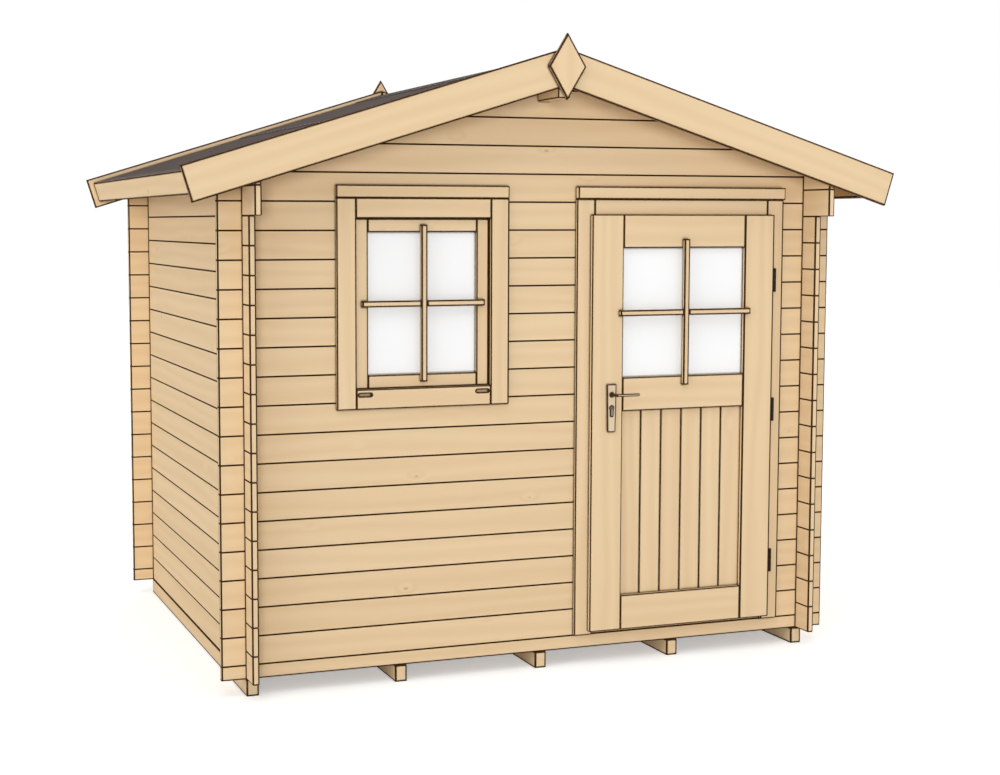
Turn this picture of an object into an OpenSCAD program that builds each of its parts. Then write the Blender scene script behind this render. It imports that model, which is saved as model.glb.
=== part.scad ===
// Log-built garden house on bearers: interlocking logs notched at the corners,
// a felted gable roof, one fixed four-pane window and one half-glazed door.
// Millimetres, +Z up. The door side faces -Y, and the origin is on the ground
// under the middle of the roof's outline.

/* [House] */
// Width over the side walls
wall_w = 2530; // [2400:10:3200]
// Depth over the front and back walls
wall_d = 2000; // [1600:10:2600]
// Rows of logs in a side wall
side_rows = 18; // [18:1:21]

/* [Logs] */
// Thickness of a log
log_t = 28; // [23:1:34]
// Height that a row of logs adds to a wall
log_h = 114; // [112:1:137]
// Length of a log end past the wall that it crosses
log_end = 100; // [80:5:140]
// Width of the tongue on top of a log
tongue_w = 10; // [6:1:12]
// Height of the tongue on top of a log
tongue_h = 8; // [5:1:10]
// Bevel on each long edge of a log
log_bevel = 3; // [1:0.5:4]

/* [Ground bearers and floor] */
// Number of bearers under the house
bearer_count = 5; // [3:1:7]
// Width of a bearer
bearer_w = 50; // [40:1:80]
// Height of a bearer
bearer_h = 70; // [45:1:100]
// Thickness of the floor
floor_t = 19; // [16:1:28]
// Width that one floor board covers
floor_board = 96; // [80:1:140]

/* [Roof] */
// Slope of the roof in degrees
roof_pitch = 17.2; // [14:0.1:21]
// Reach of the roof in front of the front wall
front_overhang = 200; // [150:10:300]
// Reach of the roof behind the back wall
rear_overhang = 100; // [80:5:200]
// Reach of the roof boards beyond each side wall
eaves_out = 224; // [180:2:300]
// Thickness of the roof boards
deck_t = 18; // [15:1:24]
// Width that one roof board covers
deck_board = 96; // [80:1:140]
// Thickness of the roofing felt
felt_t = 3; // [2:0.5:5]
// Width of the ridge purlin
purlin_w = 50; // [40:1:70]
// Height of the ridge purlin
purlin_h = 148; // [120:1:178]
// Height of the eaves boards
fascia_h = 95; // [70:1:120]
// Thickness of the eaves boards
fascia_t = 18; // [15:1:24]
// Height of the bargeboards
barge_h = 145; // [120:1:175]
// Thickness of the bargeboards
barge_t = 18; // [15:1:24]
// Height of the bargeboards' top edge above the felt
barge_rise = 25; // [10:1:40]
// Length of the bargeboards past the eaves boards
barge_past = 30; // [10:1:60]
// Width of the ridge diamonds
finial_w = 160; // [120:1:190]
// Height of the ridge diamonds
finial_h = 262; // [200:1:300]
// Thickness of the ridge diamonds
finial_t = 18; // [15:1:24]
// Height of a diamond's tip above the bargeboards
finial_rise = 56; // [30:1:80]

/* [Joinery] */
// Width of the casing boards round the door and the window
casing_w = 80; // [60:1:96]
// Thickness of the casing boards
casing_t = 16; // [12:1:22]
// Height of the drip boards over the door and the window
drip_h = 51; // [40:1:70]
// Thickness of the drip board over the door
drip_t = 30; // [20:1:40]
// Width of the bevels between tongued boards
board_bevel = 3; // [1:0.5:4]
// Bevel on the edges of planed boards and joinery
edge_bevel = 2; // [1:0.5:3]
// Gap left between pieces that are fitted together
fit = 0.3; // [0.2:0.1:0.5]
// Gap all round a pin or a spindle that turns
pin_play = 0.1; // [0.05:0.05:0.2]
// Thickness of the glass
glass_t = 4; // [3:1:6]
// Depth of the grooves that hold glass and panels
groove_d = 8; // [5:1:12]

/* [Window] */
// Distance from the left wall's outer face to the window's middle
window_x = 742; // [620:2:780]
// Clear width of the window frame
window_w = 575; // [480:1:600]
// Clear height of the window frame
window_h = 680; // [560:1:820]
// Thickness of the window frame's lining
lining_t = 14; // [12:1:24]
// Distance from the wall's outer face back to the sash
sash_back = 5; // [2:1:8]
// Thickness of the sash
sash_t = 34; // [28:1:40]
// Width of the sash stiles and rails
sash_w = 53; // [40:1:65]
// Distance from the sash's face back to its glass
sash_glass = 18; // [10:1:20]
// Clearance between the sash and its frame
sash_play = 2; // [1:0.5:3]
// Length of the drain slots below the sash
slot_l = 57; // [30:1:70]
// Height of the drain slots
slot_h = 12; // [6:1:16]
// Depth of the drain slots
slot_depth = 8; // [4:1:12]
// Distance from the frame's clear edge to the near end of a drain slot
slot_edge = 8; // [4:1:20]
// Distance from the frame's clear foot down to the middle of a drain slot
slot_drop = 22; // [14:1:30]

/* [Door] */
// Distance from the right wall's outer face to the door's middle
door_x = 626; // [560:2:660]
// Width of the door leaf
leaf_w = 864; // [780:2:900]
// Height of the door leaf
leaf_h = 1757; // [1560:1:1800]
// Thickness of the leaf's lip in front of the casing
lip_t = 20; // [18:1:26]
// Thickness of the leaf behind its lip
body_t = 20; // [16:1:24]
// Overlap of the lip on the side casings
lip_side = 21; // [16:1:30]
// Overlap of the lip on the top casing
lip_top = 16; // [10:1:24]
// Clearance round the closed leaf
door_gap = 5; // [5:0.5:8]
// Thickness of the door jambs
jamb_t = 28; // [20:1:36]
// Height of the threshold strip
sill_h = 12; // [8:1:20]
// Width of the door stiles
stile_w = 144; // [120:1:160]
// Height of the top rail
top_rail_h = 139; // [110:1:160]
// Height of the middle rail
mid_rail_h = 141; // [110:1:160]
// Height of the bottom rail
foot_rail_h = 147; // [120:1:180]
// Height of the boarded panel
panel_h = 787; // [650:1:850]
// Number of boards in the panel
panel_boards = 6; // [4:1:8]
// Thickness of the panel
panel_t = 14; // [10:1:16]
// Distance from the leaf's face back to its panel and glass
panel_back = 20; // [12:1:22]
// Width of the glazing beads
bead_w = 12; // [8:1:18]
// Bevel on the edges of the glazing beads
bead_bevel = 1; // [0.5:0.5:2]

/* [Door furniture] */
// Distance from the leaf's edge to the spindle
backset = 90; // [80:1:100]
// Height of the spindle above the leaf's lower edge
lever_z = 1006; // [900:1:1060]
// Reach of the lever from its spindle
lever_l = 110; // [90:1:130]
// Diameter of the lever
lever_d = 12; // [9:1:15]
// Distance from the plate's face to the lever's centre line
lever_out = 40; // [30:1:50]
// Width of the lock plate at its top
plate_w = 42; // [36:1:50]
// Width of the lock plate at its foot
plate_foot = 35; // [28:1:42]
// Height of the lock plate
plate_h = 200; // [180:1:230]
// Thickness of the lock plate
plate_t = 8; // [5:1:10]
// Height of the plate above the spindle
plate_above = 43; // [36:1:50]
// Radius of the lock plate's lower corners
plate_r = 5; // [2:1:10]
// Diameter of the spindle
spindle_d = 8; // [7:0.5:9]
// Distance from the spindle down to the cylinder
cylinder_drop = 56; // [52:1:85]
// Diameter of the cylinder's barrel
cylinder_d = 17; // [15:1:19]
// Width of the cylinder's stem
cylinder_w = 10; // [8:1:12]
// Height of the cylinder from its foot to its top
cylinder_h = 43; // [28:1:46]
// Reach of the cylinder past each plate
cylinder_out = 3; // [1:0.5:5]
// Width of the keyways in the cylinder
key_w = 2.5; // [2:0.5:3.5]
// Height of the keyways
key_h = 9; // [7:0.5:10]
// Depth of the keyways
key_depth = 12; // [6:1:20]
// Diameter of a hinge barrel
barrel_d = 14; // [12:1:18]
// Height of one hinge half
barrel_h = 51; // [35:1:60]
// Bevel on both ends of a hinge barrel
barrel_bevel = 1.5; // [0.5:0.5:3]
// Distance from the leaf's edge to the hinge axis
hinge_out = 9.5; // [8:0.5:13]
// Diameter of the hinge pins
pin_d = 7; // [6:0.5:8]
// Depth of the hinge pins in the leaf's stile
pin_depth = 24; // [16:1:36]
// Distance from the leaf's top to the upper hinge
hinge_top = 281; // [200:1:320]
// Distance from the upper hinge down to the middle one
hinge_step = 562; // [450:1:600]
// Distance from the leaf's foot to the lower hinge
hinge_foot = 248; // [180:1:300]

/* [Hidden] */

$fn = 48;
far = 200; // length that a cutting shape has to spare
over = 1; // distance that a cut runs past a face
row_min = 20; // least width of a gable log beside the purlin

pine = "#e5c9a1";
felt_grey = "#5d504e";
pane_white = [0.95, 0.97, 0.97, 0.5];
champagne = "#d9c6a0";
steel_grey = "#8c8984";
black_steel = "#1f1c1a";

// Roof lines, seen from the front: u runs down the slope, v stands square to it
rise = tan(roof_pitch);
wall_top = side_rows * log_h;
ridge_x = wall_w / 2;
ridge_z = wall_top + (ridge_x - log_t / 2) * rise;
deck_len = (ridge_x + eaves_out) / cos(roof_pitch);
felt_top = deck_t + felt_t;
barge_top = felt_top + barge_rise;
barge_len = deck_len + fascia_t + barge_past;
roof_len = front_overhang + wall_d + rear_overhang;
front_face = front_overhang + barge_t + finial_t;
rear_face = wall_d + rear_overhang + barge_t + finial_t;

// Rows of logs in the front and back walls: row k is centred at k * log_h
gable_row = side_rows;
ridge_row = floor((ridge_z - (purlin_w / 2 + row_min) * rise) / log_h + 0.5);
base_top = log_h / 2;
purlin_z = ridge_z - purlin_h;

// Door leaf, its clear opening and the hole in the wall round the jambs
leaf_l = wall_w - door_x - leaf_w / 2;
leaf_r = leaf_l + leaf_w;
leaf_z = base_top + sill_h + door_gap;
leaf_top = leaf_z + leaf_h;
clear_l = leaf_l + lip_side;
clear_r = leaf_r - lip_side;
clear_top = leaf_top - lip_top;
hole_l = clear_l - jamb_t;
hole_r = clear_r + jamb_t;
hole_top = clear_top + jamb_t;
split_row = floor(hole_top / log_h + 0.5);

// Leaf from front to back
lip_back = -casing_t - door_gap;
lip_front = lip_back - lip_t;
body_back = lip_back + body_t;
panel_front = lip_front + panel_back;
glass_l = leaf_l + stile_w;
glass_r = leaf_r - stile_w;
panel_z = leaf_z + foot_rail_h;
panel_top = panel_z + panel_h;
glass_z = panel_top + mid_rail_h;
glass_top = leaf_top - top_rail_h;

// Lock and hinges
lock_x = leaf_l + backset;
spindle_z = leaf_z + lever_z;
cylinder_z = spindle_z - cylinder_drop;
hinge_x = leaf_r + hinge_out;
hinge_y = (lip_front + lip_back) / 2;
hinge_levels = [leaf_z + hinge_foot, leaf_top - hinge_top - hinge_step, leaf_top - hinge_top];
hinge_core = pin_d - 1; // diameter of the pin that joins two hinge halves
core_up = 0.7 * barrel_h; // reach of that pin into the leaf's half
pin_wood = 3; // casing wood left behind the frame's hinge pins
neck_d = lever_d + 4; // collar where a lever meets its plate
neck_in = 6; // length of the collar inside the plate
neck_out = 8; // length of the collar outside the plate
bore_play = 1.5; // gap all round the spindle inside the leaf

// Window, whose casing tops line up with the door's
window_l = window_x - window_w / 2;
window_r = window_x + window_w / 2;
window_top = clear_top;
window_z = window_top - window_h;
sash_l = window_l + sash_play;
sash_r = window_r - sash_play;
sash_z = window_z + fit;
sash_top = window_top - sash_play;
pane_y = sash_back + sash_glass;

// ---- helpers ----

// Moves the house so that the origin is on the ground under its middle
module place() translate([-wall_w / 2, (front_face - rear_face) / 2, bearer_h]) children();

// A box between two corners
module block(low, high) translate(low) cube(high - low);

// A section drawn in y and z, extruded along x from one place to another
module along_x(from, to) translate([from, 0, 0]) rotate([90, 0, 90]) linear_extrude(to - from) children();

// A section drawn in x and y, extruded up from one height to another
module along_z(from, to) translate([0, 0, from]) linear_extrude(to - from) children();

// A section drawn in x and z, extruded along y
module along_y(from, to) translate([0, to, 0]) rotate([90, 0, 0]) linear_extrude(to - from) children();

// A rectangle from the origin, with a bevel on each corner
module eased(wide, tall, bevel) polygon([[bevel, 0], [wide - bevel, 0], [wide, bevel], [wide, tall - bevel],
    [wide - bevel, tall], [bevel, tall], [0, tall - bevel], [0, bevel]]);

// A planed board between two corners, with a bevel on all its edges
module plank(low, high, bevel = edge_bevel) {
    size = high - low;
    translate(low) intersection() {
        along_x(0, size.x) eased(size.y, size.z, bevel);
        along_y(0, size.y) eased(size.x, size.z, bevel);
        along_z(0, size.z) eased(size.x, size.y, bevel);
    }
}

// Points of V-shaped notches along a board edge at y = level. Each notch goes up
// where side is 1 and down where it is -1, and the row follows the step's sign.
function vees(first, step, count, level, side) = [for (i = [0:count - 1])
    each [[first + i * step - sign(step) * board_bevel, level],
          [first + i * step, level + side * board_bevel],
          [first + i * step + sign(step) * board_bevel, level]]];

// Tongued boards side by side, as one section with a V at each joint of the lower face
module boards(width, thick, count) polygon(concat([[0, 0]],
    vees(width / count, width / count, count - 1, 0, 1),
    [[width, 0], [width, thick], [0, thick]]));

// Section of a log that is `high` tall, with its tongue above and its groove below
module log_section(high, groove, tongue) {
    mid = log_t / 2;
    slot = tongue_w / 2 + fit;
    rib = tongue_w / 2;
    polygon(concat([[0, log_bevel], [log_bevel, 0]],
        groove ? [[mid - slot, 0], [mid - slot, tongue_h], [mid + slot, tongue_h], [mid + slot, 0]] : [],
        [[log_t - log_bevel, 0], [log_t, log_bevel], [log_t, high - log_bevel], [log_t - log_bevel, high]],
        tongue ? [[mid + rib, high], [mid + rib, high + tongue_h], [mid - rib, high + tongue_h],
                  [mid - rib, high]] : [],
        [[log_bevel, high], [0, high - log_bevel]]));
}

// A log from x `from` to `to` with bevelled ends, and with its section as children
module log_body(from, to) intersection() {
    along_x(from, to) children();
    along_z(-far, ridge_z + far) translate([from, 0]) eased(to - from, log_t, log_bevel);
}

// A log from z `low` to `high`, notched above and below its middle half where it
// crosses the walls at both ends of a wall that is `span` long over its faces
module log(span, from, to, low, high, mid, groove = true, tongue = true) difference() {
    log_body(from, to) translate([0, low]) log_section(high - low - fit, groove, tongue);
    for (x = [0, span - log_t]) {
        block([x - fit, -over, low - far], [x + log_t + fit, log_t + over, mid - log_h / 4 + fit / 2]);
        block([x - fit, -over, mid + log_h / 4 - fit / 2], [x + log_t + fit, log_t + over, high + far]);
    }
}

// Row k of the front or back wall, from x `from` to x `to`
module cross_row(k, from = -log_end, to = wall_w + log_end)
    log(wall_w, from, to, (k - 0.5) * log_h, (k + 0.5) * log_h, k * log_h);

// The half log that the front and back walls start with, flat on the bearers.
// Its lower side has no wall below it, so only its upper side is notched.
module base_log() difference() {
    log_body(-log_end, wall_w + log_end) log_section(base_top - fit, false, true);
    for (x = [0, wall_w - log_t])
        block([x - fit, -over, log_h / 4 - fit / 2], [x + log_t + fit, log_t + over, base_top + far]);
}

// All the space below the roof boards, less the fitting gap
module under_roof() {
    drop = fit / cos(roof_pitch);
    out = log_end + far;
    eaves = wall_top - (out + log_t / 2) * rise - drop;
    along_y(-front_overhang - far, wall_d + rear_overhang + far)
        polygon([[-out, 0], [wall_w + out, 0], [wall_w + out, eaves], [ridge_x, ridge_z - drop],
            [-out, eaves]]);
}

// The gable rows, cut along the roof's slope and notched for the purlin
module gable() difference() {
    intersection() {
        for (k = [gable_row:ridge_row]) cross_row(k);
        under_roof();
    }
    block([ridge_x - purlin_w / 2 - fit, -over, purlin_z - fit],
        [ridge_x + purlin_w / 2 + fit, log_t + over, ridge_z + far]);
}

// Closes the groove below a log from x `from` to `to`, where no log lies under it
module groove_plug(from, to, low) {
    half = tongue_w / 2 + fit;
    if (to > from) block([from, log_t / 2 - half, low], [to, log_t / 2 + half, low + tongue_h]);
}

// A side wall, built along x and then turned. The two upper logs reach out
// under the roof, and the top one is bevelled to the slope.
module side_wall() intersection() {
    translate([log_t, 0, 0]) rotate([0, 0, 90]) for (j = [0:side_rows - 1]) {
        upper = j >= side_rows - 2;
        top = j == side_rows - 1;
        front = upper ? front_overhang - fit : log_end;
        rear = upper ? rear_overhang - fit : log_end;
        high = (j + 1) * log_h + (top ? log_h / 4 : 0);
        log(wall_d, -front, wall_d + rear, j * log_h, high, (j + 0.5) * log_h, j > 0, !top);
        if (upper && !top) {
            groove_plug(-front, -log_end - fit, j * log_h);
            groove_plug(wall_d + log_end + fit, wall_d + rear, j * log_h);
        }
    }
    under_roof();
}

// One half of the roof: children are drawn with x down the slope from the
// ridge and z square to it, and end at the ridge's middle plane
module slope(left) translate([ridge_x, 0, ridge_z]) mirror([left ? 1 : 0, 0, 0]) intersection() {
    rotate([0, roof_pitch, 0]) children();
    block([fit / 2, -front_face - far, -wall_w], [wall_w + far, rear_face + far, far]);
}

module roof_deck(left) slope(left) along_x(-far, deck_len)
    translate([-front_overhang, 0]) boards(roof_len, deck_t, round(roof_len / deck_board));

module roof_felt(left) slope(left)
    block([-far, -front_overhang, deck_t + fit], [deck_len, wall_d + rear_overhang, felt_top]);

module fascia(left) slope(left)
    plank([deck_len + fit, -front_overhang, felt_top - fascia_h],
        [deck_len + fascia_t, wall_d + rear_overhang, felt_top]);

// A pair of bargeboards whose inner face is at y, mitred at the ridge
module bargeboards(y) for (left = [false, true]) slope(left)
    plank([-far, y, barge_top - barge_h], [barge_len, y + barge_t - fit, barge_top]);

// A ridge diamond whose back or front face is at y: two bevelled boards that cross,
// and what they share is the diamond
module finial(y) {
    steepness = atan2(finial_h, finial_w);
    width = finial_h * cos(steepness);
    translate([ridge_x, y, ridge_z + barge_top / cos(roof_pitch) + finial_rise - finial_h / 2])
        intersection() {
            rotate([0, steepness, 0])
                plank([-finial_h, 0, -width / 2], [finial_h, finial_t - fit, width / 2]);
            rotate([0, -steepness, 0])
                plank([-finial_h, 0, -width / 2], [finial_h, finial_t - fit, width / 2]);
        }
}

// Boards round a clear opening from x `l` to `r` and z `b` to `t`: the side
// boards run the full height, and the others fit between them
module surround(l, r, b, t, width, front, back, closed, bevel = edge_bevel) {
    for (x = [l - width, r])
        plank([x, front, closed ? b - width : b], [x + width, back, t + width], bevel);
    for (z = closed ? [b - width, t] : [t])
        plank([l + fit, front, z], [r - fit, back, z + width], bevel);
}

// One member of the rebated leaf, from x `l` to `r` and z `b` to `t`: its lip
// closes on the casing, and its body goes inside the frame
module leaf_member(l, r, b, t) {
    plank([l, lip_front, b], [r, lip_back, t]);
    plank([max(l, clear_l + door_gap), lip_front, b],
        [min(r, clear_r - door_gap), body_back, min(t, clear_top - door_gap)]);
}

// The glass of the door, with `more` added on every side
module door_pane(more) let (edge = groove_d + more)
    block([glass_l - edge, panel_front - more, glass_z - edge],
        [glass_r + edge, panel_front + glass_t + more, glass_top + edge]);

// The space that the boarded panel takes in its grooves
module panel_space() let (edge = groove_d + fit)
    block([glass_l - edge, panel_front - fit, panel_z - edge],
        [glass_r + edge, panel_front + panel_t + fit, panel_top + edge]);

// The hole in the logs round the window's lining
module window_hole() let (edge = lining_t + fit)
    block([window_l - edge, -over, window_z - edge], [window_r + edge, log_t + over, window_top + edge]);

// Outline of a drain slot, round at both ends
module slot_outline() {
    square([slot_l - slot_h, slot_h], center = true);
    for (side = [-1, 1]) translate([side * (slot_l - slot_h) / 2, 0]) circle(d = slot_h);
}

// The glass of the window, with `more` added on every side
module window_pane(more) let (edge = sash_w - groove_d - more)
    block([sash_l + edge, pane_y - more, sash_z + edge],
        [sash_r - edge, pane_y + glass_t + more, sash_top - edge]);

// Euro cylinder outline round the middle of its barrel, with `more` added on every side
module cylinder_outline(more) {
    foot = cylinder_h - cylinder_d / 2 + more;
    circle(d = cylinder_d + 2 * more);
    translate([-cylinder_w / 2 - more, -foot]) square([cylinder_w + 2 * more, foot]);
}

// The bores through the leaf for the spindle and the cylinder
module lock_bores() along_y(lip_front - over, body_back + over) {
    translate([lock_x, spindle_z]) circle(d = spindle_d + 2 * bore_play);
    translate([lock_x, cylinder_z]) cylinder_outline(fit);
}

// The pins that hold the leaf's hinge halves, with `more` added all round
module leaf_pins(more) for (z = hinge_levels)
    translate([hinge_x - barrel_d / 4, hinge_y, z + barrel_h / 2]) rotate([0, -90, 0])
        cylinder(d = pin_d + 2 * more, h = hinge_out - barrel_d / 4 + pin_depth + more);

// The pins that hold the frame's hinge halves, with `more` added all round
module frame_pins(more) for (z = hinge_levels)
    translate([hinge_x, hinge_y + barrel_d / 4, z - barrel_h / 2]) rotate([-90, 0, 0])
        cylinder(d = pin_d + 2 * more, h = -hinge_y - barrel_d / 4 - pin_wood + more);

// One lock plate, drawn in x and z round the spindle
module plate_outline() difference() {
    foot = plate_above - plate_h;
    union() {
        polygon([[-plate_w / 2, plate_above], [-plate_foot / 2, foot + plate_r],
            [plate_foot / 2, foot + plate_r], [plate_w / 2, plate_above]]);
        for (side = [-1, 1]) translate([side * (plate_foot / 2 - plate_r), foot + plate_r]) circle(plate_r);
        translate([plate_r - plate_foot / 2, foot]) square([plate_foot - 2 * plate_r, 2 * plate_r]);
    }
    circle(d = neck_d + 2 * pin_play);
    translate([0, -cylinder_drop]) cylinder_outline(fit);
}

// A round bar along -y, from one distance in front of the spindle's middle to another
module bar(from, to, width) translate([0, -from, 0]) rotate([90, 0, 0]) cylinder(d = width, h = to - from);

// One lever, from the middle of the spindle out past a plate whose face is at -`face`:
// the spindle, a collar, the neck, a quarter bend and the grip with its round end
module half_lever(face) {
    bend = lever_d;
    grip = -face - lever_out;
    bar(0, face, spindle_d);
    bar(face - neck_in, face + neck_out, neck_d);
    bar(face, face + lever_out - bend, lever_d);
    translate([bend, grip + bend, 0]) rotate([0, 0, 180])
        rotate_extrude(angle = 90) translate([bend, 0]) circle(d = lever_d);
    translate([bend, grip, 0]) rotate([0, 90, 0]) cylinder(d = lever_d, h = lever_l - bend - lever_d / 2);
    translate([lever_l - lever_d / 2, grip, 0]) sphere(d = lever_d);
}

// ---- ground, floor and walls ----

module foundation_bearers() place() color(pine) for (i = [0:bearer_count - 1])
    translate([i * (wall_w - bearer_w) / (bearer_count - 1), 0, -bearer_h])
        plank([0, 0, 0], [bearer_w, wall_d, bearer_h - fit]);

module floor() place() color(pine) {
    inset = log_t + fit;
    depth = wall_d - 2 * inset;
    along_x(inset, wall_w - inset) translate([inset, floor_t]) mirror([0, 1])
        boards(depth, floor_t, round(depth / floor_board));
}

// The half log of the front wall, without its tongue under the doorway
module front_wall_base() place() color(pine) difference() {
    base_log();
    block([hole_l - fit, -over, base_top - fit], [hole_r + fit, log_t + over, base_top + far]);
}

module front_wall_left() place() color(pine) difference() {
    for (k = [1:split_row - 1]) cross_row(k, to = hole_l - fit);
    window_hole();
}

module front_wall_right() place() color(pine)
    for (k = [1:split_row - 1]) cross_row(k, from = hole_r + fit);

module front_wall_top() place() color(pine) difference() {
    for (k = [split_row:gable_row - 1]) cross_row(k);
    window_hole();
    block([hole_l - fit, -over, 0], [hole_r + fit, log_t + over, hole_top + fit]);
}

module front_gable() place() color(pine) gable();

module back_wall() place() color(pine) translate([0, wall_d - log_t, 0]) {
    base_log();
    for (k = [1:gable_row - 1]) cross_row(k);
}

module back_gable() place() color(pine) translate([0, wall_d - log_t, 0]) gable();

module left_wall() place() color(pine) side_wall();

module right_wall() place() color(pine) translate([wall_w, 0, 0]) mirror([1, 0, 0]) side_wall();

// ---- roof ----

module ridge_purlin() place() color(pine) along_y(-front_overhang, wall_d + rear_overhang)
    translate([ridge_x, ridge_z - fit]) intersection() {
        translate([-purlin_w / 2, -purlin_h]) eased(purlin_w, purlin_h + far, log_bevel);
        polygon([[-purlin_w, -purlin_h], [purlin_w, -purlin_h], [purlin_w, -purlin_w * rise], [0, 0],
            [-purlin_w, -purlin_w * rise]]);
    }

module left_roof_deck() place() color(pine) roof_deck(true);

module right_roof_deck() place() color(pine) roof_deck(false);

module left_roof_felt() place() color(felt_grey) roof_felt(true);

module right_roof_felt() place() color(felt_grey) roof_felt(false);

module left_fascia() place() color(pine) fascia(true);

module right_fascia() place() color(pine) fascia(false);

module front_bargeboards() place() color(pine) bargeboards(-front_overhang - barge_t);

module rear_bargeboards() place() color(pine) bargeboards(wall_d + rear_overhang + fit);

module front_finial() place() color(pine) finial(-front_face);

module rear_finial() place() color(pine) finial(wall_d + rear_overhang + barge_t + fit);

// ---- window ----

module window_frame() place() color(pine)
    surround(window_l, window_r, window_z, window_top, lining_t, 0, log_t, true);

module window_casing() place() color(pine) difference() {
    surround(window_l, window_r, window_z, window_top, casing_w, -casing_t, -fit, true);
    for (side = [-1, 1]) along_y(-casing_t - over, -casing_t + slot_depth)
        translate([window_x + side * (window_w / 2 - slot_l / 2 - slot_edge), window_z - slot_drop])
            slot_outline();
}

module window_drip_board() place() color(pine)
    plank([window_l - casing_w, -casing_t, window_top + casing_w + fit],
        [window_r + casing_w, -fit, window_top + casing_w + drip_h]);

module window_inner_casing() place() color(pine)
    surround(window_l, window_r, window_z, window_top, casing_w, log_t + fit, log_t + casing_t, true);

module window_sash() place() color(pine) difference() {
    surround(sash_l + sash_w, sash_r - sash_w, sash_z + sash_w, sash_top - sash_w,
        sash_w, sash_back, sash_back + sash_t, true);
    window_pane(fit);
}

module window_glass() place() color(pane_white) window_pane(0);

// ---- doorway ----

module door_frame() place() color(pine)
    surround(clear_l, clear_r, base_top, clear_top, jamb_t, 0, log_t, false);

module door_casing() place() color(pine) difference() {
    surround(clear_l, clear_r, base_top, clear_top, casing_w, -casing_t, -fit, false);
    frame_pins(fit);
}

module door_drip_board() place() color(pine)
    plank([clear_l - casing_w, -drip_t, clear_top + casing_w + fit],
        [clear_r + casing_w, -fit, clear_top + casing_w + drip_h]);

module door_inner_casing() place() color(pine)
    surround(clear_l, clear_r, floor_t + fit, clear_top, casing_w, log_t + fit, log_t + casing_t, false);

module door_threshold() place() color(pine)
    plank([clear_l + fit, 0, base_top], [clear_r - fit, log_t, base_top + sill_h]);

// ---- door leaf ----

module door_stiles() place() color(pine) difference() {
    union() {
        leaf_member(leaf_l, glass_l, leaf_z, leaf_top);
        leaf_member(glass_r, leaf_r, leaf_z, leaf_top);
    }
    door_pane(fit);
    panel_space();
    lock_bores();
    leaf_pins(fit);
}

module door_rails() place() color(pine) difference() {
    for (z = [[leaf_z, panel_z], [panel_top, glass_z], [glass_top, leaf_top]])
        leaf_member(glass_l + fit, glass_r - fit, z[0], z[1]);
    door_pane(fit);
    panel_space();
}

module door_panel() place() color(pine) {
    board = (glass_r - glass_l) / panel_boards;
    width = glass_r - glass_l + 2 * groove_d;
    last = panel_boards - 1;
    translate([glass_l - groove_d, panel_front, panel_z - groove_d]) linear_extrude(panel_h + 2 * groove_d)
        polygon(concat([[0, 0]], vees(groove_d + board, board, last, 0, 1), [[width, 0], [width, panel_t]],
            vees(width - groove_d - board, -board, last, panel_t, -1), [[0, panel_t]]));
}

module door_glass() place() color(pane_white) door_pane(0);

module door_glass_beads() place() color(pine)
    surround(glass_l + bead_w, glass_r - bead_w, glass_z + bead_w, glass_top - bead_w,
        bead_w - fit, panel_front + glass_t + fit, body_back, true, bead_bevel);

// ---- door furniture ----

// One hinge barrel of height `high`, with both its ends bevelled
module barrel(high) rotate_extrude() polygon([[0, 0], [barrel_d / 2 - barrel_bevel, 0],
    [barrel_d / 2, barrel_bevel], [barrel_d / 2, high - barrel_bevel], [barrel_d / 2 - barrel_bevel, high],
    [0, high]]);

// Hinge halves on the frame, each with the pin that the leaf's half turns on
module frame_hinges() place() color(black_steel) {
    for (z = hinge_levels) translate([hinge_x, hinge_y, z]) {
        translate([0, 0, -barrel_h]) barrel(barrel_h - fit);
        translate([0, 0, -barrel_h / 2]) cylinder(d = hinge_core, h = barrel_h / 2 + core_up);
    }
    frame_pins(0);
}

module leaf_hinges() place() color(black_steel) difference() {
    union() {
        for (z = hinge_levels) translate([hinge_x, hinge_y, z]) barrel(barrel_h);
        leaf_pins(0);
    }
    for (z = hinge_levels) translate([hinge_x, hinge_y, z - over])
        cylinder(d = hinge_core + 2 * pin_play, h = core_up + over + fit);
}

module lock_plates() place() color(champagne) {
    along_y(lip_front - plate_t, lip_front - fit) translate([lock_x, spindle_z]) plate_outline();
    along_y(body_back + fit, body_back + plate_t) translate([lock_x, spindle_z]) plate_outline();
}

// The cylinder through the leaf, with a keyway in each end
module lock_cylinder() place() color(steel_grey) difference() {
    front = lip_front - plate_t - cylinder_out;
    back = body_back + plate_t + cylinder_out;
    along_y(front, back) translate([lock_x, cylinder_z]) cylinder_outline(0);
    for (y = [front - over, back - key_depth]) along_y(y, y + key_depth + over)
        translate([lock_x, cylinder_z]) square([key_w, key_h], center = true);
}

// Both levers and the spindle between them
module door_lever() place() color(champagne)
    translate([lock_x, (lip_front + body_back) / 2, spindle_z]) for (inner = [0, 1])
        mirror([0, inner, 0]) half_lever((body_back - lip_front) / 2 + plate_t);

foundation_bearers();
floor();
front_wall_base();
front_wall_left();
front_wall_right();
front_wall_top();
front_gable();
back_wall();
back_gable();
left_wall();
right_wall();
ridge_purlin();
left_roof_deck();
right_roof_deck();
left_roof_felt();
right_roof_felt();
left_fascia();
right_fascia();
front_bargeboards();
rear_bargeboards();
front_finial();
rear_finial();
window_frame();
window_casing();
window_drip_board();
window_inner_casing();
window_sash();
window_glass();
door_frame();
door_casing();
door_drip_board();
door_inner_casing();
door_threshold();
frame_hinges();
door_stiles();
door_rails();
door_panel();
door_glass();
door_glass_beads();
leaf_hinges();
lock_plates();
lock_cylinder();
door_lever();
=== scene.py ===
import math
import random

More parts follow.
